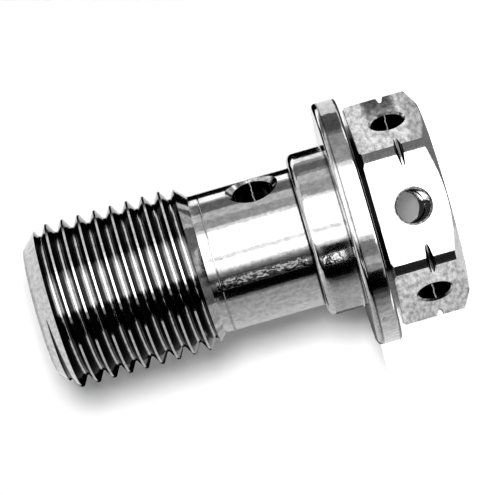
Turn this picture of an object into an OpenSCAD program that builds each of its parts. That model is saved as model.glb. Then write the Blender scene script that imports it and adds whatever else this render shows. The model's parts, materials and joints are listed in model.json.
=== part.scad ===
// Banjo bolt: a hollow hexagon-head bolt that clamps a hose's ring fitting and lets the
// fluid pass from its bore through a cross hole in its waist.
// It is turned and milled from one bar, so it is one piece. It stands on its head: the
// origin is the middle of the head's end face, and +Z runs along the axis to the tip.

/* [Head] */
// Distance across the hexagon's flats
hex_af = 12; // [10:0.5:16]
// How much wider than the flats the round bar is, which leaves a narrow strip on each corner
corner_trim = 1.5; // [0.8:0.1:1.8]
// Height of the hexagon, from the end face to the groove under the flange
hex_h = 4.3; // [3.6:0.1:8]
// Angle between the hexagon's outer chamfer and its end face
end_chamfer_angle = 30; // [15:5:45]
// How far inside the flats the edge of the end face lies
end_face_inset = 0.15; // [0:0.05:0.5]
// 45 degree chamfer on the hexagon's corners next to the flange
corner_chamfer = 0.15; // [0.1:0.05:0.6]

/* [Thread mark] */
// Height of the groove round the hexagon's corners, which tells the fine pitch
mark_z = 2; // [1.5:0.1:3]
// Depth of the groove at a corner
mark_depth = 0.32; // [0.2:0.02:0.4]
// Rounding of the groove's bottom
mark_round = 0.15; // [0.05:0.01:0.2]
// Lean of the groove's sides from square to the axis, in degrees
mark_lean = 20; // [5:5:45]

/* [Lock-wire holes] */
// Diameter of the holes straight across the hexagon, from flat to flat
wire_hole_d = 2; // [1:0.1:2.4]
// Height of the lock-wire holes above the end face
wire_hole_z = 2.08; // [1.6:0.02:3]
// 45 degree chamfer at the mouths of the lock-wire holes
wire_hole_rim = 0.12; // [0.05:0.01:0.3]
// How far the round pocket that clears the burrs where the holes meet stands past their walls
wire_hole_pocket = 0.05; // [0.02:0.01:0.2]

/* [Flange] */
// Width of the turned groove between the hexagon and the flange
relief_w = 0.3; // [0.2:0.05:0.6]
// Depth of that groove below the hexagon's flats
relief_depth = 0.3; // [0.1:0.05:0.6]
// How far the flange stands out past the round bar
flange_rim = 0.75; // [0.4:0.05:2]
// Thickness of the flange
flange_t = 1.5; // [1:0.1:3]
// Rounding of the flange's rim on the side that seals
seat_round = 0.35; // [0.1:0.05:0.45]
// Rounding of the flange's rim next to the hexagon
back_round = 0.2; // [0.1:0.05:0.4]

/* [Collar and waist] */
// Length of the collar that centres the ring fitting's washer
collar_l = 2.3; // [1:0.1:4]
// Rounding of the collar's edge next to the waist
collar_round = 0.45; // [0.1:0.05:0.6]
// Length of the waist, which the fluid flows round
waist_l = 6.25; // [5:0.05:12]
// How far the waist lies below the thread's root
waist_clearance = 0.14; // [0.05:0.01:0.4]

/* [Thread] */
// Major diameter of the thread, and diameter of the collar
thread_d = 10; // [9:0.5:14]
// Pitch of the right-handed thread
pitch = 1; // [0.75:0.25:1.25]
// Length of the threaded end, from the waist to the tip
thread_l = 10.25; // [6:0.05:20]
// 45 degree chamfer at the tip
tip_chamfer = 1.1; // [0.6:0.05:1.4]
// Turn of the thread's start about the axis, from +X, in degrees
thread_start = 57; // [0:1:360]

/* [Oilways] */
// Diameter of the blind bore from the tip
bore_d = 4.5; // [3:0.1:5]
// 45 degree chamfer at the bore's mouth
bore_mouth = 0.4; // [0.1:0.05:0.6]
// How far the bore's straight wall runs on past the cross hole
bore_past = 0.5; // [0.2:0.1:1]
// Point angle of the drill that made the bore
drill_point = 118; // [90:2:140]
// Diameter of the hole across the waist
cross_d = 2.5; // [1.5:0.1:3]
// Distance from the collar's shoulder to the middle of the cross hole
cross_from_collar = 2.4; // [2:0.05:4]
// 45 degree chamfer at the mouths of the cross hole
cross_rim = 0.35; // [0.1:0.05:0.5]
// Turn of the cross hole about the axis, from +X, in degrees
cross_turn = -30; // [-90:0.5:90]

/* [Hidden] */
$fn = 96;
// How far a cutting shape reaches past the surface that it cuts
past = 0.5;

// Radii
flat_r = hex_af / 2;
bar_r = (hex_af + corner_trim) / 2;
end_face_r = flat_r - end_face_inset;
relief_r = flat_r - relief_depth;
flange_r = bar_r + flange_rim;
thread_r = thread_d / 2;
// The thread has a flat crest of an eighth of the pitch, flanks that lean this far from
// square to the axis, and a standard depth
crest_w = pitch / 8;
flank = 30;
thread_depth = 0.6134 * pitch;
root_r = thread_r - thread_depth;
waist_r = root_r - waist_clearance;
bore_r = bore_d / 2;

// The groove at the corners has straight sides that meet its round bottom without a step
mark_turn = 90 - mark_lean;
mark_half_w = mark_round * cos(mark_lean)
    + (mark_depth - mark_round * (1 - sin(mark_lean))) * tan(mark_lean);

// Heights above the end face
end_chamfer_h = (bar_r - end_face_r) * tan(end_chamfer_angle);
flange_z = hex_h + relief_w;
collar_z = flange_z + flange_t;
waist_z = collar_z + collar_l;
thread_z = waist_z + waist_l;
tip_z = thread_z + thread_l;
cross_z = waist_z + cross_from_collar;
bore_floor_z = cross_z - cross_d / 2 - bore_past;
// The thread's inner end slopes down to the waist at 45 degrees
run_out = thread_r - waist_r;

// The thread's groove is cut in steps of a turn, and runs on past both ends of the thread
steps = 36;
groove_from = thread_z - pitch / 2;
groove_to = tip_z + pitch;
step_count = ceil((groove_to - groove_from) / pitch * steps);
// The groove's section as [distance from its middle line, radius]: two straight flanks
// that start just outside the crest, and a root rounded by an arc between them
top_r = thread_r + crest_w / 2;
half_w = function(r) (pitch - crest_w) / 2 - (thread_r - r) * tan(flank);
root_round = half_w(root_r) * cos(flank) / (1 - sin(flank));
root_turn = 90 - flank;
groove_section = concat(
    [[-half_w(top_r), top_r]],
    [for (i = [-1.5:1.5]) let (a = i / 1.5 * root_turn)
        [root_round * sin(a), root_r + root_round * (1 - cos(a))]],
    [[half_w(top_r), top_r]]
);

// A disc's half section from the axis out, with its two rim corners rounded
module disc_section(r, z0, z1, round0 = 0, round1 = 0) {
    difference() {
        translate([0, z0]) square([r, z1 - z0]);
        if (round0 > 0)
            translate([r - round0, z0 + round0]) mirror([0, 1]) corner_waste(round0);
        if (round1 > 0)
            translate([r - round1, z1 - round1]) corner_waste(round1);
    }
}

// What a rounded corner leaves of a square corner, from the centre of the rounding
module corner_waste(r) {
    difference() {
        square(r + past);
        circle(r);
    }
}

// The hexagon's half section as turned, before its flats are milled
module head_section() {
    mark_bottom = [for (i = [-4:4]) let (a = i / 4 * mark_turn)
        [bar_r - mark_depth + mark_round * (1 - cos(a)), mark_z + mark_round * sin(a)]];
    polygon(concat(
        [[0, 0], [end_face_r, 0], [bar_r, end_chamfer_h], [bar_r, mark_z - mark_half_w]],
        mark_bottom,
        [[bar_r, mark_z + mark_half_w], [bar_r, hex_h - corner_chamfer]],
        [[bar_r - corner_chamfer, hex_h], [0, hex_h]]
    ));
}

// The threaded end's half section, with the run-out at the waist and the tip's chamfer
module thread_section() {
    polygon([
        [0, thread_z], [waist_r, thread_z], [thread_r, thread_z + run_out],
        [thread_r, tip_z - tip_chamfer], [thread_r - tip_chamfer, tip_z], [0, tip_z]
    ]);
}

// The head: a turned blank with six flats
module head() {
    intersection() {
        rotate_extrude() head_section();
        cylinder(r = flat_r / cos(30), h = hex_h, $fn = 6);
    }
}

// Everything above the hexagon, turned
module shank() {
    rotate_extrude() {
        translate([0, hex_h - past]) square([relief_r, relief_w + 2 * past]);
        disc_section(flange_r, flange_z, collar_z, back_round, seat_round);
        disc_section(thread_r, collar_z - past, waist_z, 0, collar_round);
        disc_section(waist_r, waist_z - past, thread_z + past);
        thread_section();
    }
}

// The helical groove, swept along the thread one step of a turn at a time
module thread_groove() {
    n = len(groove_section);
    points = [for (i = [0:step_count]) for (p = groove_section)
        let (z = groove_from + i * pitch / steps,
             turn = thread_start + (z - tip_z) / pitch * 360)
        [p[1] * cos(turn), p[1] * sin(turn), z + p[0]]];
    sides = [for (i = [0:step_count - 1]) for (k = [0:n - 1])
        let (a = i * n + k, b = i * n + (k + 1) % n)
        [a, a + n, b + n, b]];
    caps = [[for (k = [0:n - 1]) k], [for (k = [n - 1:-1:0]) step_count * n + k]];
    polyhedron(points, concat(sides, caps), convexity = 10);
}

// A hole along +X from the axis, with a 45 degree chamfer where it meets radius r
module mouth(d, r, rim) {
    translate([r - rim, 0, 0]) rotate([0, 90, 0])
        cylinder(r1 = d / 2, r2 = d / 2 + rim + past, h = rim + past);
}

// A hole straight through the axis, with both its mouths chamfered
module through_hole(d, r, rim) {
    rotate([0, 90, 0]) cylinder(d = d, h = 2 * (r + past), center = true);
    for (side = [0, 180]) rotate([0, 0, side]) mouth(d, r, rim);
}

// The three holes from flat to flat, and the pocket where they meet
module wire_holes() {
    for (k = [0:2]) rotate([0, 0, 30 + 60 * k])
        through_hole(wire_hole_d, flat_r, wire_hole_rim);
    sphere(d = wire_hole_d + 2 * wire_hole_pocket);
}

// The blind bore from the tip, with the drill's cone at its floor
module bore() {
    cone_h = bore_r / tan(drill_point / 2);
    rotate_extrude() polygon([
        [0, bore_floor_z - cone_h], [bore_r, bore_floor_z], [bore_r, tip_z - bore_mouth],
        [bore_r + bore_mouth + past, tip_z + past], [0, tip_z + past]
    ]);
}

// The whole bolt
module banjo_bolt() {
    color("silver") difference() {
        union() {
            head();
            shank();
        }
        thread_groove();
        bore();
        translate([0, 0, cross_z]) rotate([0, 0, cross_turn])
            through_hole(cross_d, waist_r, cross_rim);
        translate([0, 0, wire_hole_z]) wire_holes();
    }
}

banjo_bolt();
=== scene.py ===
"""A race banjo bolt, made and dressed for its picture.

The bolt is one piece. It is made here as it is in the workshop: a bar is turned, its
hexagon is milled, its thread is cut and its holes are drilled, and each tool leaves its
own finish. It stands on its head, with the origin in the middle of the head's end face
and +Z along its axis to the tip. Lengths are in millimetres until the last step.
"""

import json
import logging
import math
from dataclasses import dataclass, field, replace
from enum import Enum

import bmesh
import bpy
from mathutils import Matrix, Vector


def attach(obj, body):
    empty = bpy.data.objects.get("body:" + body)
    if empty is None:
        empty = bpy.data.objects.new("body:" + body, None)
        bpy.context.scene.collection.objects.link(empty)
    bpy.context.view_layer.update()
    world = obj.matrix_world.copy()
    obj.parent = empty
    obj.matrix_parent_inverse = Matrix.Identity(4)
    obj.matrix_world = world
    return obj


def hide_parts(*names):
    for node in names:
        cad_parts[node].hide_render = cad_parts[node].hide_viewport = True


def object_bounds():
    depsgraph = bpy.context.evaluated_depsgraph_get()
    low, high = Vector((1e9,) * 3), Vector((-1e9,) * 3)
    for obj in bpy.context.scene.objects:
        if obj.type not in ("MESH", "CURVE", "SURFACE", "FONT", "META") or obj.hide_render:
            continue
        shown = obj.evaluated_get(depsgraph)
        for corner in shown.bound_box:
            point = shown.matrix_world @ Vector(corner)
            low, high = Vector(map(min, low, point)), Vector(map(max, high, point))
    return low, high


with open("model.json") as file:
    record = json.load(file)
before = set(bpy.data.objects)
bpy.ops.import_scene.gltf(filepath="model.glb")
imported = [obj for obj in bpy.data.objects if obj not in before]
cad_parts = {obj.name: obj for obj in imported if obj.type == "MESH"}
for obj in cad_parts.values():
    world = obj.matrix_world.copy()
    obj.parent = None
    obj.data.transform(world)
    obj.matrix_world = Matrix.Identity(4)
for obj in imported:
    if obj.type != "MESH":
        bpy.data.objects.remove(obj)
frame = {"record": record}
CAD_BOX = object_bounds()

LOG = logging.getLogger("banjo_bolt")
MM = 0.001
BODY = "root"
NODE = "banjo_bolt"
# How far a cutting shape reaches past the surface that it cuts
PAST = 0.5
# Points nearer than this are one point
SAME_POINT = 1e-5
# Degrees from the middle of a hexagon's flat to its corner
HALF_FLAT = 30.0
# Facets round a drill
DRILL_FACETS = 96

Point = tuple[float, float]
Point3 = tuple[float, float, float]
Pair = tuple[float, float]
Tree = bpy.types.NodeTree
Socket = bpy.types.NodeSocket
Links = dict[int | str, Socket | float | tuple]


class Surface(Enum):
    """The tools that leave a surface on the bolt, each with its own finish."""

    TURNED = "turned_steel"
    MILLED = "milled_steel"
    THREADED = "thread_cut_steel"
    DRILLED = "drilled_steel"
    BORED = "bored_steel"
    COUNTERSUNK = "countersunk_steel"


@dataclass(frozen=True)
class Mount:
    """An interface of the bolt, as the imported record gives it, in millimetres."""

    place: Vector
    axis: Vector
    radius: float


def mount(name: str) -> Mount:
    """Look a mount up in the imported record.

    Args:
        name: The mount's name.

    Returns:
        Its place, axis and radius.
    """
    row = next(m for m in frame["record"]["mounts"] if m["name"] == name)
    return Mount(Vector(row["pos_m"]) / MM, Vector(row["axis"]), row["dims"].get("r_mm", 0.0))


def linear(colour: str) -> tuple[float, float, float, float]:
    """Turn an sRGB hex colour into the linear colour that a shader takes.

    Args:
        colour: Six hex digits, such as "c8c8c8".

    Returns:
        Red, green, blue and an alpha of one.
    """
    parts = [int(colour[i:i + 2], 16) / 255 for i in (0, 2, 4)]
    red, green, blue = (c / 12.92 if c <= 0.04045 else ((c + 0.055) / 1.055) ** 2.4 for c in parts)
    return red, green, blue, 1.0


def arc(centre: Point, radius: float, start: float, end: float, steps: int) -> list[Point]:
    """Points along an arc in the half section.

    Args:
        centre: The arc's centre, as distance from the axis and height.
        radius: The arc's radius.
        start: Angle of the first point from the outward direction, in degrees.
        end: Angle of the last point.
        steps: Number of chords.

    Returns:
        The points, from start to end.
    """
    turns = [math.radians(start + (end - start) * i / steps) for i in range(steps + 1)]
    return [(centre[0] + radius * math.cos(t), centre[1] + radius * math.sin(t)) for t in turns]


def new_object(name: str, shape: bmesh.types.BMesh,
               surface: Surface | None = None) -> bpy.types.Object:
    """Close a bmesh into an object, with its normals outwards.

    Args:
        name: Name of the object and its mesh.
        shape: The bmesh, which is freed.
        surface: The finish that this tool leaves, if any.

    Returns:
        The object, linked to the scene.
    """
    bmesh.ops.remove_doubles(shape, verts=shape.verts, dist=SAME_POINT)
    bmesh.ops.recalc_face_normals(shape, faces=shape.faces)
    mesh = bpy.data.meshes.new(name)
    shape.to_mesh(mesh)
    shape.free()
    if surface:
        mesh.materials.append(finish(surface))
    made = bpy.data.objects.new(name, mesh)
    bpy.context.scene.collection.objects.link(made)
    return made


def turned_solid(name: str, outline: list[Point], steps: int,
                 surface: Surface) -> bpy.types.Object:
    """Turn a half section about the Z axis into a solid.

    Args:
        name: Name of the solid.
        outline: Its half section from axis to axis, as distance from the axis and height.
        steps: Number of facets round it.
        surface: The finish that this tool leaves.

    Returns:
        The solid.
    """
    shape = bmesh.new()
    chain = [shape.verts.new((r, 0, z)) for r, z in outline]
    edges = [shape.edges.new(pair) for pair in zip(chain, chain[1:])]
    bmesh.ops.spin(shape, geom=chain + edges, cent=(0, 0, 0), axis=(0, 0, 1),
                   angle=math.tau, steps=steps, use_merge=True)
    return new_object(name, shape, surface)


def through_drill(name: str, hole: Mount, outer_r: float, rim: float) -> bpy.types.Object:
    """A drill that goes straight through and countersinks both mouths at 45 degrees.

    Args:
        name: Name of the drill.
        hole: Where the hole is, and its radius.
        outer_r: Distance from the axis to the surface that it leaves by.
        rim: Width of the countersink.

    Returns:
        The drill, in its place.
    """
    reach = outer_r + PAST
    wide = hole.radius + rim + PAST
    outline = [(0, -reach), (wide, -reach), (hole.radius, rim - outer_r),
               (hole.radius, outer_r - rim), (wide, reach), (0, reach)]
    drill = turned_solid(name, outline, DRILL_FACETS, Surface.DRILLED)
    drill.data.materials.append(finish(Surface.COUNTERSUNK))
    for face in drill.data.polygons:
        if abs(face.center.z) > outer_r - rim:
            face.material_index = 1
    turn = Vector((0, 0, 1)).rotation_difference(hole.axis).to_matrix().to_4x4()
    drill.data.transform(Matrix.Translation((0, 0, hole.place.z)) @ turn)
    return drill


@dataclass
class HexHead:
    """The hexagon: its turned outline, its milled flats and its lock-wire holes."""

    flat_r: float = 6.0
    bar_r: float = 6.75
    height: float = 4.3
    end_face_r: float = 5.85
    end_chamfer_angle: float = 30.0
    corner_chamfer: float = 0.15
    # The groove round the corners that marks a fine thread: its height, its depth, the
    # rounding of its root and the lean of its sides
    mark_z: float = 2.0
    mark_depth: float = 0.32
    mark_round: float = 0.15
    mark_lean: float = 20.0
    mark_steps: int = 16
    # The turned groove between the hexagon and the flange
    relief_r: float = 5.7
    relief_w: float = 0.3
    # The lock-wire holes: the directions that they run in, and their countersinks
    wire_turns: tuple[int, ...] = (30, 90, 150)
    wire_rim: float = 0.12
    wire_hole: Mount = field(default_factory=lambda: mount("wire_hole_a"))

    def outline(self) -> list[Point]:
        """The hexagon's turned outline.

        Returns:
            Points from the middle of the end face to the groove under the flange.
        """
        slope = math.tan(math.radians(self.end_chamfer_angle))
        chamfer_top = (self.bar_r - self.end_face_r) * slope
        lean = math.radians(self.mark_lean)
        straight = self.mark_depth - self.mark_round * (1 - math.sin(lean))
        mark_half_w = self.mark_round * math.cos(lean) + straight * math.tan(lean)
        mark_middle = (self.bar_r - self.mark_depth + self.mark_round, self.mark_z)
        # From nearly straight down by way of the axis's side to nearly straight up
        mark_from, mark_to = 270 - self.mark_lean, 90 + self.mark_lean
        return [
            (0, 0), (self.end_face_r, 0), (self.bar_r, chamfer_top),
            (self.bar_r, self.mark_z - mark_half_w),
            *arc(mark_middle, self.mark_round, mark_from, mark_to, self.mark_steps),
            (self.bar_r, self.mark_z + mark_half_w),
            (self.bar_r, self.height - self.corner_chamfer),
            (self.bar_r - self.corner_chamfer, self.height), (self.relief_r, self.height),
            (self.relief_r, self.height + self.relief_w),
        ]

    def flat_cutter(self) -> bpy.types.Object:
        """The waste that milling takes off: all that lies outside the six flats.

        Returns:
            A thick ring with a hexagonal hole.
        """
        shape = bmesh.new()
        half_flat = math.radians(HALF_FLAT)
        turn = Matrix.Rotation(half_flat, 4, "Z")
        for radius in (self.flat_r / math.cos(half_flat), 2 * self.bar_r):
            bmesh.ops.create_circle(shape, segments=6, radius=radius, matrix=turn)
        bmesh.ops.bridge_loops(shape, edges=shape.edges[:])
        raised = bmesh.ops.extrude_face_region(shape, geom=shape.faces[:])
        top = [part for part in raised["geom"] if isinstance(part, bmesh.types.BMVert)]
        bmesh.ops.translate(shape, verts=top, vec=(0, 0, PAST + self.height + self.relief_w / 2))
        bmesh.ops.translate(shape, verts=shape.verts, vec=(0, 0, -PAST))
        return new_object("flat_cutter", shape, Surface.MILLED)

    def wire_drills(self) -> list[bpy.types.Object]:
        """The drills for lock wire.

        Returns:
            Three drills, each straight through from flat to flat.
        """
        drills = []
        for turn in self.wire_turns:
            axis = Vector((math.cos(math.radians(turn)), math.sin(math.radians(turn)), 0))
            hole = replace(self.wire_hole, axis=axis)
            drills.append(through_drill(f"wire_drill_{turn}", hole, self.flat_r, self.wire_rim))
        return drills


@dataclass
class Shank:
    """All that is turned above the groove: flange, collar, waist and the thread's blank."""

    seat: Mount = field(default_factory=lambda: mount("seat"))
    collar: Mount = field(default_factory=lambda: mount("collar"))
    flange_r: float = CAD_BOX[1].x / MM
    flange_z: float = 4.6
    # Roundings of the flange's rim, on the side that seals and next to the hexagon
    seat_round: float = 0.35
    seat_steps: int = 12
    back_round: float = 0.2
    back_steps: int = 9
    collar_round: float = 0.45
    collar_steps: int = 12
    waist_r: float = 4.2466
    waist_z: float = 8.4
    thread_z: float = 14.65
    tip_z: float = CAD_BOX[1].z / MM
    tip_chamfer: float = 1.1
    # A line that the tool scribed round the waist just before the thread
    scribe_z: float = 14.05
    scribe_w: float = 0.08
    scribe_depth: float = 0.015

    def outline(self) -> list[Point]:
        """The shank's turned outline.

        Returns:
            Points from the groove under the flange to the middle of the tip.
        """
        seat_z, thread_r = self.seat.place.z, self.collar.radius
        rim, lip, soft = self.seat_round, self.back_round, self.collar_round
        back = arc((self.flange_r - lip, self.flange_z + lip), lip, -90, 0, self.back_steps)
        return [
            (self.flange_r - lip, self.flange_z), *back[1:],
            *arc((self.flange_r - rim, seat_z - rim), rim, 0, 90, self.seat_steps),
            (thread_r, seat_z),
            *arc((thread_r - soft, self.waist_z - soft), soft, 0, 90, self.collar_steps),
            (self.waist_r, self.waist_z),
            (self.waist_r, self.scribe_z - self.scribe_w / 2),
            (self.waist_r - self.scribe_depth, self.scribe_z),
            (self.waist_r, self.scribe_z + self.scribe_w / 2),
            (self.waist_r, self.thread_z),
            (thread_r, self.thread_z + thread_r - self.waist_r),
            (thread_r, self.tip_z - self.tip_chamfer),
            (thread_r - self.tip_chamfer, self.tip_z), (0, self.tip_z),
        ]


@dataclass
class ThreadCutter:
    """The helical groove of the right-handed thread."""

    shank: Shank
    pitch: float = 1.0
    depth: float = 0.6134
    # Share of the pitch that the flat crest takes up
    crest_share: float = 0.125
    # Half the angle between the flanks
    flank: float = 30.0
    # Turn of the thread's start about the axis, from +X
    start: float = 57.0
    root_steps: int = 14
    steps_a_turn: int = 120

    def section(self) -> list[Point]:
        """The groove's section: two straight flanks that meet a round root without a step.

        Returns:
            Points, as distance from the groove's middle line and radius.
        """
        major = self.shank.collar.radius
        root = major - self.depth
        lean = math.tan(math.radians(self.flank))
        crest_w = self.pitch * self.crest_share

        def half_width(radius: float) -> float:
            """Half the groove's width at a radius."""
            return (self.pitch - crest_w) / 2 - (major - radius) * lean

        # The root's arc turns from one flank to the other, and past the crest the flanks run
        # on a little, to cut it clean
        turn = 90 - self.flank
        root_round = half_width(root) / math.tan(math.radians(turn / 2))
        bottom = arc((0, root + root_round), root_round, -90 - turn, turn - 90, self.root_steps)
        top = major + crest_w / 2
        return [(-half_width(top), top), *bottom, (half_width(top), top)]

    def cutter(self) -> bpy.types.Object:
        """Wind the groove from before the waist to past the tip.

        Returns:
            The groove as a solid.
        """
        low = self.shank.thread_z - self.pitch / 2
        turns = (self.shank.tip_z + self.pitch - low) / self.pitch
        steps = math.ceil(turns * self.steps_a_turn)
        first = math.radians(self.start) + (low - self.shank.tip_z) / self.pitch * math.tau
        shape = bmesh.new()
        loop = [shape.verts.new((r, 0, low + along)) for along, r in self.section()]
        face = shape.faces.new(loop)
        bmesh.ops.rotate(shape, verts=loop, cent=(0, 0, 0), matrix=Matrix.Rotation(first, 3, "Z"))
        bmesh.ops.spin(shape, geom=[face], cent=(0, 0, 0), axis=(0, 0, 1),
                       dvec=(0, 0, self.pitch / self.steps_a_turn),
                       angle=math.tau * steps / self.steps_a_turn, steps=steps, use_merge=False)
        return new_object("thread_cutter", shape, Surface.THREADED)


@dataclass
class Oilways:
    """The blind bore from the tip and the hole across the waist."""

    shank: Shank
    bore: Mount = field(default_factory=lambda: mount("fluid_bore"))
    cross: Mount = field(default_factory=lambda: mount("cross_hole"))
    # Height at which the bore's wall ends and the cone of its drill's point starts
    bore_floor: float = 9.05
    drill_point: float = 118.0
    bore_facets: int = 144
    # Widths of the countersinks at the bore's mouth and at the cross hole's two
    bore_mouth: float = 0.4
    cross_rim: float = 0.35

    def drills(self) -> list[bpy.types.Object]:
        """The drills for the bore and the cross hole.

        Returns:
            The bore's drill, with its conical point, and the cross hole's.
        """
        cone = self.bore.radius / math.tan(math.radians(self.drill_point / 2))
        mouth_z = self.shank.tip_z - self.bore_mouth
        wide = self.bore.radius + self.bore_mouth + PAST
        outline = [(0, self.bore_floor - cone), (self.bore.radius, self.bore_floor),
                   (self.bore.radius, mouth_z), (wide, self.shank.tip_z + PAST),
                   (0, self.shank.tip_z + PAST)]
        return [turned_solid("bore_drill", outline, self.bore_facets, Surface.BORED),
                through_drill("cross_drill", self.cross, self.shank.waist_r, self.cross_rim)]


def cut(blank: bpy.types.Object, tool: bpy.types.Object) -> None:
    """Take a tool's shape out of the blank, and leave the tool's finish on the cut.

    Args:
        blank: The piece, which is changed.
        tool: The shape to take out, which is deleted.
    """
    step = blank.modifiers.new(tool.name, "BOOLEAN")
    step.operation = "DIFFERENCE"
    step.solver = "MANIFOLD"
    step.material_mode = "TRANSFER"
    step.object = tool
    scene_state = bpy.context.evaluated_depsgraph_get()
    worked = bpy.data.meshes.new_from_object(blank.evaluated_get(scene_state))
    blank.modifiers.clear()
    blank.data = worked
    LOG.info("%s leaves %d faces", tool.name, len(worked.polygons))
    bpy.data.objects.remove(tool)


@dataclass
class BanjoBolt:
    """The whole bolt, cut from one turned blank."""

    head: HexHead
    shank: Shank
    thread: ThreadCutter
    oilways: Oilways
    facets: int = 360
    # Edges at which the surface turns by more degrees than this stay crisp
    crisp_edge: float = 13.0
    # How strongly large faces rule the shading next to small ones, at most 100
    face_weight: int = 100

    def make(self) -> bpy.types.Object:
        """Turn the blank, then mill, thread and drill it, and bring it to metres.

        Returns:
            The finished bolt.
        """
        outline = self.head.outline() + self.shank.outline()
        bolt = turned_solid("bolt", outline, self.facets, Surface.TURNED)
        cut(bolt, self.head.flat_cutter())
        cut(bolt, self.thread.cutter())
        for drill in self.oilways.drills() + self.head.wire_drills():
            cut(bolt, drill)
        bolt.data.transform(Matrix.Scale(MM, 4))
        bolt.data.shade_smooth()
        bolt.data.set_sharp_from_angle(angle=math.radians(self.crisp_edge))
        # Long faces stay true, and the narrow ones of a rounding take up its whole turn
        shading = bolt.modifiers.new("shading", "WEIGHTED_NORMAL")
        shading.keep_sharp = True
        shading.weight = self.face_weight
        return bolt

    def dress(self, bolt: bpy.types.Object) -> None:
        """Put the finished bolt in the frame, in place of its plain solid.

        Args:
            bolt: The bolt.
        """
        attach(bolt, BODY)
        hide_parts(NODE)


# Inputs and output of a Mix node that mixes colours
MIX_FROM, MIX_TO, MIXED = 6, 7, 2


def add_node(tree: Tree, kind: str, settings: dict | None = None,
             inputs: Links | None = None) -> bpy.types.Node:
    """Add a node with its settings and links.

    Args:
        tree: The node tree.
        kind: The node's type name, without its "ShaderNode".
        settings: Values of the node's own properties.
        inputs: For each input, a socket to link or a value to set.

    Returns:
        The node.
    """
    made = tree.nodes.new("ShaderNode" + kind)
    for name, value in (settings or {}).items():
        setattr(made, name, value)
    for name, value in (inputs or {}).items():
        if isinstance(value, Socket):
            tree.links.new(value, made.inputs[name])
        else:
            made.inputs[name].default_value = value
    return made


def wander(tree: Tree, place: Socket, along: Socket, reach: float, size: float) -> Socket:
    """Let a measure wander, so that what it places has no ruled edge.

    Args:
        tree: The node tree.
        place: The bolt's own coordinates.
        along: The measure.
        reach: How far it wanders to each side.
        size: Length over which it does so.

    Returns:
        The measure that wanders.
    """
    noise = add_node(tree, "TexNoise", inputs={
        "Vector": place, "Scale": 1 / (MM * size), "Detail": 2.0})
    shift = add_node(tree, "MapRange", inputs={
        "Value": noise.outputs["Fac"], "To Min": -reach * MM, "To Max": reach * MM})
    moved = add_node(tree, "Math", {"operation": "ADD"}, {0: along, 1: shift.outputs[0]})
    return moved.outputs[0]


class Measure(Enum):
    """What a band of painted shade is placed by."""

    HEIGHT = "height above the end face"
    RADIUS = "distance from the axis"


@dataclass(frozen=True)
class PaintedShade:
    """Painted shade and dark painted reflection lines: bands where the steel's colour is darkened.

    Each stop is a place in millimetres and the share of the steel that is covered there.
    """

    measure: Measure
    stops: tuple[Pair, ...]
    colour: str = "0c0c0c"
    # How far its edges wander, and over what length
    wobble: float = 0.0
    wobble_size: float = 0.25
    # The lit side, as a range of X, which lies clear of the bolt if there is none. Past
    # it the painted shade comes back over the fade, and within it the lit share stays
    lit_span: Pair = (-20.0, -20.0)
    lit_fade: float = 0.3
    lit_share: float = 0.0

    def cover(self, tree: Tree, place: Socket) -> Socket:
        """The share of the steel's colour that the painted shade darkens.

        Args:
            tree: The node tree.
            place: The bolt's own coordinates.

        Returns:
            The share.
        """
        low, high = self.stops[0][0], self.stops[-1][0]
        if self.measure is Measure.RADIUS:
            flat = add_node(tree, "VectorMath", {"operation": "MULTIPLY"}, {
                0: place, 1: (1, 1, 0)})
            along = add_node(tree, "VectorMath", {"operation": "LENGTH"}, {
                0: flat.outputs[0]}).outputs["Value"]
        else:
            along = add_node(tree, "SeparateXYZ", inputs={0: place}).outputs["Z"]
        along = wander(tree, place, along, self.wobble, self.wobble_size)
        spread = add_node(tree, "MapRange", inputs={
            "Value": along, "From Min": low * MM, "From Max": high * MM})
        ramp = add_node(tree, "ValToRGB", inputs={0: spread.outputs[0]})
        elements = ramp.color_ramp.elements
        while len(elements) < len(self.stops):
            elements.new(0.5)
        for element, (at, share) in zip(elements, self.stops):
            element.position = (at - low) / (high - low)
            element.color = (share, share, share, 1)
        return add_node(tree, "Math", {"operation": "MULTIPLY"}, {
            0: ramp.outputs[0], 1: self.shade_kept(tree, place)}).outputs[0]

    def shade_kept(self, tree: Tree, place: Socket) -> Socket:
        """The share of the painted shade that stays at each X, less on the lit side.

        Args:
            tree: The node tree.
            place: The bolt's own coordinates.

        Returns:
            The share.
        """
        start, end = self.lit_span
        middle, half_w = (start + end) / 2, (end - start) / 2
        side = add_node(tree, "SeparateXYZ", inputs={0: place}).outputs["X"]
        off = add_node(tree, "Math", {"operation": "SUBTRACT"}, {0: side, 1: middle * MM})
        away = add_node(tree, "Math", {"operation": "ABSOLUTE"}, {0: off.outputs[0]})
        left = add_node(tree, "MapRange", {"interpolation_type": "SMOOTHSTEP"}, {
            "Value": away.outputs[0], "From Min": half_w * MM,
            "From Max": (half_w + self.lit_fade) * MM, "To Min": self.lit_share})
        return left.outputs[0]


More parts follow.
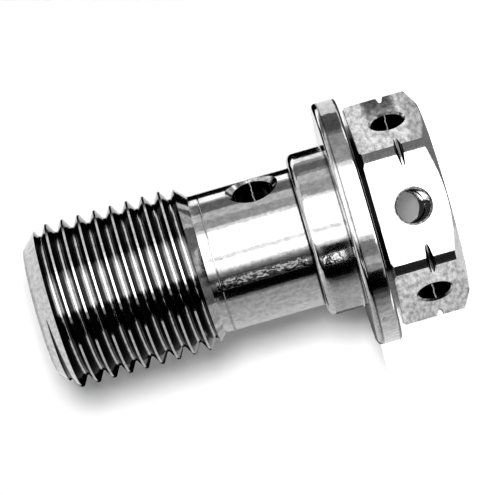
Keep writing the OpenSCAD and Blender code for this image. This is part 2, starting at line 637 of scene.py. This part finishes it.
@dataclass(frozen=True)
class Scuffs:
    """A row of small dents on one side, which scatter the light in flecks.

    The row reaches from one angle about the axis to another and from one height to another.
    """

    start: float
    end: float
    low: float
    high: float
    # Depth and size of the dents
    depth: float = 0.03
    size: float = 0.3

    def bump(self, tree: Tree, place: Socket, normal: Socket) -> Socket:
        """Add the row to a surface.

        Args:
            tree: The node tree.
            place: The bolt's own coordinates.
            normal: The surface's normal.

        Returns:
            The normal with the row's dents.
        """
        parts = add_node(tree, "SeparateXYZ", inputs={0: place})
        angle = add_node(tree, "Math", {"operation": "ARCTAN2"}, {
            0: parts.outputs["Y"], 1: parts.outputs["X"]})
        across = add_node(tree, "Math", {"operation": "COMPARE"}, {
            0: angle.outputs[0], 1: math.radians((self.start + self.end) / 2),
            2: math.radians((self.end - self.start) / 2)})
        along = add_node(tree, "Math", {"operation": "COMPARE"}, {
            0: parts.outputs["Z"], 1: (self.low + self.high) / 2 * MM,
            2: (self.high - self.low) / 2 * MM})
        inside = add_node(tree, "Math", {"operation": "MULTIPLY"}, {
            0: across.outputs[0], 1: along.outputs[0]})
        noise = add_node(tree, "TexNoise", inputs={
            "Vector": place, "Scale": 1 / (MM * self.size), "Detail": 1.0})
        height = add_node(tree, "Math", {"operation": "MULTIPLY"}, {
            0: noise.outputs["Fac"], 1: inside.outputs[0]})
        return add_node(tree, "Bump", inputs={
            "Height": height.outputs[0], "Distance": self.depth * MM,
            "Normal": normal}).outputs[0]


@dataclass(frozen=True)
class Steel:
    """Stainless steel as one tool leaves it: a neutral metal, mottled and finely dented."""

    surface: Surface
    # Colours of the mottles, and the levels of the noise that they belong to
    light: str = "d4d4d4"
    dark: str = "b6b6b6"
    dark_level: float = 0.36
    light_level: float = 0.64
    # Size of the mottles along X, Y and Z. They and the dents are drawn coarser than the
    # tools' real marks, whose hundredths of a millimetre the picture can't show
    mottle: Point3 = (0.25, 0.25, 0.35)
    roughness: float = 0.1
    # Depth and size of the fine dents
    dent_depth: float = 0.0035
    dent_size: float = 0.35
    # Depth of the nicks, their usual distance, and the share of it that a nick takes up
    nick_depth: float = 0.0
    nick_space: float = 2.0
    nick_share: float = 0.075
    # Bands of painted shade and dark painted reflection lines
    painted_shades: tuple[PaintedShade, ...] = ()
    scuffs: tuple[Scuffs, ...] = ()
    # Heights of the matt lines painted along the walls as their highlight, half their
    # width, their colour, how far they wander and over what length
    painted_highlights: tuple[float, ...] = ()
    highlight_half_w: float = 0.035
    highlight_colour: str = "4a4a4a"
    highlight_wobble: float = 0.12
    highlight_wobble_size: float = 0.5

    def make(self) -> bpy.types.Material:
        """Build the material on the bolt's own coordinates.

        Returns:
            The material.
        """
        material = bpy.data.materials.new(self.surface.value)
        material.use_nodes = True
        tree = material.node_tree
        place = add_node(tree, "TexCoord").outputs["Object"]
        shader = tree.nodes["Principled BSDF"]
        shader.inputs["Metallic"].default_value = 1.0
        shader.inputs["Roughness"].default_value = self.roughness
        tone = self.tone(tree, place)
        # A matt line painted along each drilled wall stands in for its highlight
        if self.painted_highlights:
            highlight_lines = self.highlight_lines(tree, place)
            metal = add_node(tree, "Math", {"operation": "SUBTRACT"}, {0: 1.0, 1: highlight_lines})
            tree.links.new(metal.outputs[0], shader.inputs["Metallic"])
            tone = add_node(tree, "Mix", {"data_type": "RGBA"}, {
                0: highlight_lines, MIX_FROM: tone, MIX_TO: linear(self.highlight_colour)}).outputs[MIXED]
        tree.links.new(tone, shader.inputs["Base Color"])
        tree.links.new(self.relief(tree, place), shader.inputs["Normal"])
        return material

    def tone(self, tree: Tree, place: Socket) -> Socket:
        """The steel's colour: mottled, and darkened by painted shade.

        Args:
            tree: The node tree.
            place: The bolt's own coordinates.

        Returns:
            The colour.
        """
        size = tuple(1 / (MM * length) for length in self.mottle)
        spots = add_node(tree, "Mapping", inputs={"Vector": place, "Scale": size})
        noise = add_node(tree, "TexNoise", inputs={
            "Vector": spots.outputs[0], "Scale": 1.0, "Detail": 3.0, "Roughness": 0.6})
        ramp = add_node(tree, "ValToRGB", inputs={0: noise.outputs["Fac"]})
        dark, light = ramp.color_ramp.elements
        dark.position, dark.color = self.dark_level, linear(self.dark)
        light.position, light.color = self.light_level, linear(self.light)
        tone = ramp.outputs[0]
        # Each band of painted shade darkens the colour in turn
        for shade_band in self.painted_shades:
            tone = add_node(tree, "Mix", {"data_type": "RGBA"}, {
                0: shade_band.cover(tree, place), MIX_FROM: tone,
                MIX_TO: linear(shade_band.colour)}).outputs[MIXED]
        return tone

    def highlight_lines(self, tree: Tree, place: Socket) -> Socket:
        """The matt lines painted along the walls as their highlight.

        Args:
            tree: The node tree.
            place: The bolt's own coordinates.

        Returns:
            One on a line and nought beside it.
        """
        height = add_node(tree, "SeparateXYZ", inputs={0: place}).outputs["Z"]
        height = wander(tree, place, height, self.highlight_wobble, self.highlight_wobble_size)
        highlight_lines = None
        for level in self.painted_highlights:
            here = add_node(tree, "Math", {"operation": "COMPARE"}, {
                0: height, 1: level * MM, 2: self.highlight_half_w * MM}).outputs[0]
            if highlight_lines:
                here = add_node(tree, "Math", {"operation": "ADD"}, {
                    0: highlight_lines, 1: here}).outputs[0]
            highlight_lines = here
        return highlight_lines

    def relief(self, tree: Tree, place: Socket) -> Socket:
        """The dents that make the edges of the reflections ragged, with nicks and scuffs.

        Args:
            tree: The node tree.
            place: The bolt's own coordinates.

        Returns:
            The surface's normal.
        """
        dents = add_node(tree, "TexNoise", inputs={
            "Vector": place, "Scale": 1 / (MM * self.dent_size), "Detail": 2.0})
        normal = add_node(tree, "Bump", inputs={
            "Height": dents.outputs["Fac"], "Distance": self.dent_depth * MM}).outputs[0]
        if self.nick_depth:
            spots = add_node(tree, "TexVoronoi", inputs={
                "Vector": place, "Scale": 1 / (MM * self.nick_space)})
            dip = add_node(tree, "MapRange", inputs={
                "Value": spots.outputs["Distance"], "From Max": self.nick_share})
            normal = add_node(tree, "Bump", inputs={
                "Height": dip.outputs[0], "Normal": normal,
                "Distance": self.nick_depth * MM}).outputs[0]
        for row in self.scuffs:
            normal = row.bump(tree, place, normal)
        return normal


def ring(height: float, half_w: float, share: float, soft: float = 0.03) -> tuple[Pair, ...]:
    """Stops of a ramp for a ring of painted shade.

    Args:
        height: Height of the ring's middle.
        half_w: Half its width.
        share: How much of the steel it covers.
        soft: Width over which it fades on each side.

    Returns:
        Four stops, from below the ring to above it.
    """
    return ((height - half_w - soft, 0.0), (height - half_w, share),
            (height + half_w, share), (height + half_w + soft, 0.0))


# Painted shade on both sides of the groove of the thread mark
MARKS = PaintedShade(Measure.HEIGHT, (
    (1.6, 0.0), *ring(1.84, 0.08, 1.0), *ring(2.16, 0.08, 1.0), (2.4, 0.0)))
# Painted shade in the groove under the flange, a little lighter on the -X side
GAP = PaintedShade(Measure.HEIGHT, (
    (4.1, 0.0), *ring(4.49, 0.22, 1.0, 0.02), (4.9, 0.0)), lit_span=(-20.0, -3.4), lit_share=0.7)
# Painted shade at the waist's corner, the scribed line, the thread's run-out and the tip, and dark
# painted reflection lines at the edges of the flange
CORNERS = PaintedShade(Measure.HEIGHT, (
    (5.6, 0.0), *ring(5.75, 0.02, 0.85), *ring(6.14, 0.02, 0.9), *ring(8.42, 0.06, 1.0),
    *ring(14.05, 0.03, 0.5), *ring(15.0, 0.34, 0.25),
    (24.72, 0.0), (24.8, 0.3), (25.0, 0.3)), wobble=0.02)
# Grey painted shade in the thread, from beside the root to the crest
GROOVES = PaintedShade(Measure.RADIUS, (
    (4.3, 0.0), (4.39, 0.0), (4.41, 0.3), (4.47, 0.8), (4.6, 0.92), (4.7, 1.0), (4.93, 1.0),
    (4.99, 0.6), (5.1, 0.0)), "707070", 0.02)
# Dark painted shade on the flanks, left off in a lit strip along the thread
FLANKS = PaintedShade(Measure.RADIUS, (
    (4.3, 0.0), (4.39, 0.0), (4.4, 0.5), (4.43, 0.9), (4.93, 0.9), (4.98, 0.0), (5.1, 0.0)),
    "141414", 0.02, lit_span=(-0.35, 1.85))
# Dark painted reflection lines at the edges of the crests
CRESTS = PaintedShade(Measure.RADIUS, (
    (4.3, 0.0), (4.86, 0.0), (4.91, 1.0), (4.98, 1.0), (5.0, 0.0), (5.1, 0.0)), "1c1c1c", 0.02)
# Painted shade over the thread's end in the tip's chamfer
TIP = PaintedShade(Measure.HEIGHT, ((23.6, 0.0), (23.75, 1.0), (24.9, 1.0)))

FINISHES = {
    # Turned and polished bar: a bright mirror, whose reflections run crisp along the bolt, with
    # painted shade in its grooves and corners
    Surface.TURNED: Steel(Surface.TURNED, painted_shades=(MARKS, GAP, CORNERS), nick_depth=0.04, scuffs=(
        Scuffs(-113.5, -104.5, 8.8, 14.3), Scuffs(-113.0, -106.0, 6.75, 7.95))),
    # Milled flats: satin, and blotched by the cutter's strokes, which lie across the bolt, with
    # painted shade by the groove under the flange
    Surface.MILLED: Steel(Surface.MILLED, light="f0f0f0", dark="a2a2a2", mottle=(0.65, 0.65, 0.26),
                          roughness=0.14, dent_depth=0.006, painted_shades=(GAP,)),
    # Cut thread: bright on the crests and at the root, and painted dark up the flanks
    Surface.THREADED: Steel(Surface.THREADED, light="d0d0d0", dark="c0c0c0", roughness=0.12,
                            painted_shades=(GROOVES, FLANKS, CRESTS, TIP)),
    # Drilled walls: smooth, and painted dark for the shade inside the holes, so they show only the
    # brightest glints, with a matt line painted along each wall as its highlight
    Surface.DRILLED: Steel(Surface.DRILLED, light="3c3c3c", dark="222222", roughness=0.07,
                           dent_depth=0.002, dent_size=0.3, painted_highlights=(2.08, 10.8)),
    # Reamed bore: lighter than the drilled walls, and soft
    Surface.BORED: Steel(Surface.BORED, light="a8a8a8", dark="868686", roughness=0.25),
    # Countersunk mouths: bright, blotched rims round the dark holes
    Surface.COUNTERSUNK: Steel(Surface.COUNTERSUNK, light="dcdcdc", dark="686868",
                               mottle=(0.3, 0.3, 0.3), roughness=0.12),
}


def finish(surface: Surface) -> bpy.types.Material:
    """The material of a surface, made the first time that it is asked for."""
    return bpy.data.materials.get(surface.value) or FINISHES[surface].make()


@dataclass(frozen=True)
class CardRing:
    """A ring of cards round the bolt, for one length of the polished steel to mirror.

    Angles run about the bolt's axis from the camera's direction, towards the side that is
    up in the picture. Each card is given by the angle at which it ends and its brightness,
    and it starts where the one before it ends.
    """

    name: str
    # Heights of its lower and its upper edge, and the angle at which its first card starts
    low: float
    high: float
    start: float
    cards: tuple[Pair, ...]
    radius: float = 15.0


# Distance from the axis at which a single card stands, just in front of the rings
NEARER = 14.5

# The rings, from below the head's end face to past the tip
UNDER_CARDS = CardRing("under_cards", -60, -4, -180, (
    (-168, 0.3), (-155, 0.6), (-137, 1.0), (-60, 0.65), (-30, 0.3), (137, 1.0), (160, 0.25),
    (180, 0.22)))
HEAD_CARDS = CardRing("head_cards", -4, 3.75, -180, (
    (-137, 0.03), (-109, 0.62), (-101, 0.7), (-94, 0.92), (-75, 0.6), (-61, 1.8), (-52, 0.1),
    (-43, 0.02), (-18, 0.6), (42, 3.4), (55, 0.25), (62, 0.5), (75, 1.8), (90, 0.5),
    (114, 1.05), (137, 0.12), (180, 0.03)))
FLANGE_CARDS = CardRing("flange_cards", 3.75, 5.95, -180, (
    (-150, 0.9), (-103, 0.95), (-87, 0.78), (-73, 0.62), (-66, 0.46), (-60, 0.3), (-55, 0.14),
    (-51, 0.04), (-36, 0.0), (-31, 0.4), (-25, 0.65), (-14, 0.27), (-10.5, 0.9), (39.5, 2.3),
    (43, 1.2), (56, 0.48), (69, 0.42), (73, 0.2), (86, 0.1), (97, 0.12), (155, 0.98)))
COLLAR_CARDS = CardRing("collar_cards", 5.95, 8.25, -180, (
    (-135, 0.12), (-84, 0.54), (-77, 0.46), (-72, 0.38), (-68, 0.3), (-65, 0.22), (-62, 0.13),
    (-58, 0.05), (-17, 0.0), (-15, 0.4), (-12, 1.3), (0.4, 2.2), (5, 1.35), (41, 2.2),
    (44, 1.3), (62, 0.52), (76, 0.77), (81, 0.38), (95, 0.18), (103, 0.4), (114, 1.3),
    (144, 0.0)))
WAIST_CARDS = CardRing("waist_cards", 8.25, 14.95, -180, (
    (-140, 0.6), (-110, 0.74), (-88, 0.64), (-74, 0.55), (-61, 0.46), (-57, 0.2), (-40, 0.0),
    (-35, 0.06), (-29, 0.22), (-23, 0.07), (-19.5, 0.2), (-16.5, 0.42), (-14, 0.9),
    (-11.5, 1.6), (0.8, 2.2), (6, 1.35), (43, 2.2), (48, 1.2), (63, 0.5), (77, 0.75),
    (98, 0.18), (102, 0.5), (118, 1.7), (144, 0.0)))
THREAD_CARDS = CardRing("thread_cards", 14.95, 27.5, -180, (
    (-135, 0.0), (-50, 0.68), (-22, 0.0), (-14, 0.3), (-9, 1.8), (34, 3.8), (40, 2.2),
    (48, 1.3), (97, 0.95), (102, 0.6), (107, 0.25), (112, 0.08), (146, 0.0)))
# Single cards that part of the collar, the waist, a lock-wire hole and the flats mirror
COLLAR_GLINT = CardRing("collar_glint", 6.55, 7.75, -39, ((-35, 0.9), (-27, 2.0)), NEARER)
WAIST_GLINT = CardRing("waist_glint", 8.7, 14.2, -33, ((-29, 0.8),), NEARER)
HOLE_GLINT = CardRing("hole_glint", 1.47, 2.02, -179.7, ((-178.25, 3.0),), NEARER)
FLAT_PATCH = CardRing("flat_patch", 0.75, 2.8, 101.5, ((104, 0.25), (110, 0.06)), NEARER)
FLAT_EDGE = CardRing("flat_edge", -4, 0.35, 90, ((110, 0.62),), NEARER)


@dataclass
class Camera:
    """The camera, level with the bolt, and rolled so that the bolt lies in the picture."""

    # Distance from the bolt's axis, and height
    distance: float = 156.94
    height: float = 10.47
    # Turn about the bolt from the square-on view of a flat, towards +X, and the camera's own
    # turns, all in degrees
    azimuth: float = 0.32
    roll: float = 15.983
    pan: float = 0.566
    tilt: float = -0.047
    # Focal length, and width of the sensor
    lens: float = 190.6
    sensor: float = 36.0
    # Nearest and farthest distance that it sees, in metres
    clip: Pair = (0.01, 20.0)

    def place(self) -> Matrix:
        """The camera's place and turn.

        Returns:
            Its matrix, in metres.
        """
        right, up, back = Vector((0, 0, -1)), Vector((1, 0, 0)), Vector((0, -1, 0))
        level = Matrix((right, up, back)).transposed()
        turn = (Matrix.Rotation(-math.radians(self.roll), 3, "Z")
                @ Matrix.Rotation(math.radians(self.pan), 3, "Y")
                @ Matrix.Rotation(math.radians(self.tilt), 3, "X"))
        stand = Matrix.Translation((0, -self.distance * MM, self.height * MM))
        round_bolt = Matrix.Rotation(math.radians(self.azimuth), 4, "Z")
        return round_bolt @ stand @ (level @ turn).to_4x4()

    def make(self) -> bpy.types.Object:
        """Build the camera and make it the scene's own.

        Returns:
            The camera.
        """
        data = bpy.data.cameras.new("camera")
        data.lens = self.lens
        data.sensor_width = self.sensor
        data.clip_start, data.clip_end = self.clip
        camera = bpy.data.objects.new("camera", data)
        camera.matrix_world = self.place()
        bpy.context.scene.collection.objects.link(camera)
        bpy.context.scene.camera = camera
        return camera


@dataclass
class Studio:
    """A pale floor and backdrop, two lamps for the shadows, and cards for the steel to mirror."""

    camera: Camera
    floor_size: float = 6000.0
    # The flange stands before the line where the backdrop meets the floor
    backdrop_y: float = 205.0
    board_colour: str = "f4f4f4"
    # Glow of the floor that the camera alone sees, which brings it up to white
    floor_glow: float = 0.78
    # The long patch in the shade behind the bolt that doesn't glow: the Y of its middle, the
    # distances from there at which the glow starts and is full, and the share of a length
    # along Y that counts in them
    shade_y: float = 42.0
    shade_fade: Pair = (3.5, 8.5)
    shade_stretch: float = 0.2
    # Strength of the surround as a light
    surround_light: float = 0.03
    rings: tuple[CardRing, ...] = (
        UNDER_CARDS, HEAD_CARDS, FLANGE_CARDS, COLLAR_CARDS, WAIST_CARDS, THREAD_CARDS,
        COLLAR_GLINT, WAIST_GLINT, HOLE_GLINT, FLAT_PATCH, FLAT_EDGE)
    # Degrees that one facet of a card spans
    card_step: float = 3.0
    # How far the shadow lamp stands from the camera, towards +X and +Z
    lamp_offset: Pair = (2.45, 0.6)
    lamp_size: float = 3.4
    lamp_power: float = 1.2
    # The key lamp stands in front, and the bolt hides from it the floor that shows through
    # its lock-wire hole
    key_place: Point3 = (0.0, -64.0, 45.0)
    key_aim: Point3 = (0.0, 30.0, 0.0)
    key_size: float = 16.0
    key_power: float = 0.05

    def board(self, name: str, glow: float) -> bpy.types.Material:
        """Matt white board.

        Args:
            name: The material's name.
            glow: How strongly it glows for the camera.

        Returns:
            The material.
        """
        material = bpy.data.materials.new(name)
        material.use_nodes = True
        tree = material.node_tree
        tree.nodes.clear()
        board = add_node(tree, "BsdfDiffuse", inputs={"Color": linear(self.board_colour)})
        ray = add_node(tree, "LightPath")
        place = add_node(tree, "TexCoord").outputs["Object"]
        from_middle = add_node(tree, "VectorMath", {"operation": "SUBTRACT"}, {
            0: place, 1: (0, self.shade_y * MM, 0)})
        shortened = add_node(tree, "VectorMath", {"operation": "MULTIPLY"}, {
            0: from_middle.outputs[0], 1: (1, self.shade_stretch, 1)})
        away = add_node(tree, "VectorMath", {"operation": "LENGTH"}, {0: shortened.outputs[0]})
        near, far = (distance * MM for distance in self.shade_fade)
        share = add_node(tree, "MapRange", {"interpolation_type": "SMOOTHSTEP"}, {
            "Value": away.outputs["Value"], "From Min": near, "From Max": far, "To Max": glow})
        strength = add_node(tree, "Math", {"operation": "MULTIPLY"}, {
            0: ray.outputs["Is Camera Ray"], 1: share.outputs[0]})
        light = add_node(tree, "Emission", inputs={"Strength": strength.outputs[0]})
        both = add_node(tree, "AddShader", inputs={0: board.outputs[0], 1: light.outputs[0]})
        add_node(tree, "OutputMaterial", inputs={"Surface": both.outputs[0]})
        return material

    def sheet(self, name: str, material: bpy.types.Material, matrix: Matrix) -> bpy.types.Object:
        """A large flat sheet, which the steel doesn't mirror.

        Args:
            name: Name of the sheet.
            material: Its finish.
            matrix: Its place, in metres.

        Returns:
            The sheet.
        """
        shape = bmesh.new()
        bmesh.ops.create_grid(shape, x_segments=1, y_segments=1,
                              size=self.floor_size / 2 * MM, matrix=matrix)
        sheet = new_object(name, shape)
        sheet.data.materials.append(material)
        sheet.visible_glossy = False
        return sheet

    def cards(self, row: CardRing) -> bpy.types.Object:
        """One ring of cards.

        Args:
            row: Its height, and the angles and the brightness of its cards.

        Returns:
            The ring, which the steel alone sees.
        """
        shape = bmesh.new()
        start = row.start
        for number, (end, _) in enumerate(row.cards):
            foot = [shape.verts.new((0, -row.radius * MM, z * MM)) for z in (row.low, row.high)]
            edge = shape.edges.new(foot)
            turn = Matrix.Rotation(math.radians(start + self.camera.azimuth), 3, "Z")
            bmesh.ops.rotate(shape, verts=foot, cent=(0, 0, 0), matrix=turn)
            before = set(shape.faces)
            steps = max(1, round((end - start) / self.card_step))
            bmesh.ops.spin(shape, geom=[*foot, edge], cent=(0, 0, 0), axis=(0, 0, 1),
                           angle=math.radians(end - start), steps=steps, use_merge=False)
            for face in set(shape.faces) - before:
                face.material_index = number
            start = end
        made = new_object(row.name, shape)
        for _, level in row.cards:
            made.data.materials.append(self.card(level))
        made.visible_camera = False
        made.visible_diffuse = False
        made.visible_transmission = False
        made.visible_shadow = False
        return made

    def card(self, level: float) -> bpy.types.Material:
        """A card of one brightness, made the first time that it is asked for.

        Args:
            level: Its brightness, where one is white.

        Returns:
            The material.
        """
        name = f"card_{level:g}"
        if name in bpy.data.materials:
            return bpy.data.materials[name]
        material = bpy.data.materials.new(name)
        material.use_nodes = True
        tree = material.node_tree
        tree.nodes.clear()
        light = add_node(tree, "Emission", inputs={"Strength": level})
        add_node(tree, "OutputMaterial", inputs={"Surface": light.outputs[0]})
        return material

    def lamp(self, name: str, size: float, power: float, matrix: Matrix) -> bpy.types.Object:
        """A square lamp, which the steel doesn't mirror.

        Args:
            name: Name of the lamp.
            size: Length of its side.
            power: Its power in watts.
            matrix: Its place, in metres.

        Returns:
            The lamp.
        """
        data = bpy.data.lights.new(name, "AREA")
        data.size = size * MM
        data.energy = power
        lamp = bpy.data.objects.new(name, data)
        lamp.matrix_world = matrix
        lamp.visible_camera = False
        lamp.visible_glossy = False
        bpy.context.scene.collection.objects.link(lamp)
        return lamp

    def surround(self) -> None:
        """Set the plain surround: white to the camera and the steel, and dim as a light."""
        world = bpy.data.worlds.new("white_surround")
        world.use_nodes = True
        tree = world.node_tree
        ray = add_node(tree, "LightPath")
        seen = add_node(tree, "Math", {"operation": "MAXIMUM"}, {
            0: ray.outputs["Is Camera Ray"], 1: ray.outputs["Is Glossy Ray"]})
        level = add_node(tree, "MapRange", inputs={
            "Value": seen.outputs[0], "To Min": self.surround_light, "To Max": 1.0})
        background = tree.nodes["Background"]
        background.inputs["Color"].default_value = (1, 1, 1, 1)
        tree.links.new(level.outputs[0], background.inputs["Strength"])
        bpy.context.scene.world = world

    def make(self) -> None:
        """Build the surround, the floor, the backdrop, the cards and the lamps."""
        self.surround()
        self.sheet("floor", self.board("floor_board", self.floor_glow), Matrix())
        upright = Matrix.Rotation(math.radians(90), 4, "X")
        behind = Matrix.Translation((0, self.backdrop_y * MM, 0))
        self.sheet("backdrop", self.board("backdrop_board", 0.0), behind @ upright)
        for row in self.rings:
            self.cards(row)
        lift = Matrix.Translation((self.lamp_offset[0] * MM, 0, self.lamp_offset[1] * MM))
        self.lamp("shadow_lamp", self.lamp_size, self.lamp_power, lift @ self.camera.place())
        place, aim = Vector(self.key_place) * MM, Vector(self.key_aim) * MM
        turn = (aim - place).to_track_quat("-Z", "Y").to_matrix().to_4x4()
        self.lamp("key_lamp", self.key_size, self.key_power, Matrix.Translation(place) @ turn)


def main() -> None:
    """Build the bolt, its studio and its camera."""
    logging.basicConfig(level=logging.INFO, format="%(name)s: %(message)s")
    shank = Shank()
    maker = BanjoBolt(HexHead(), shank, ThreadCutter(shank), Oilways(shank))
    bolt = maker.make()
    maker.dress(bolt)
    LOG.info("bolt: %d faces", len(bolt.data.polygons))
    camera = Camera()
    camera.make()
    Studio(camera).make()
    bpy.context.scene.view_settings.view_transform = "Standard"


if __name__ == "__main__":
    main()
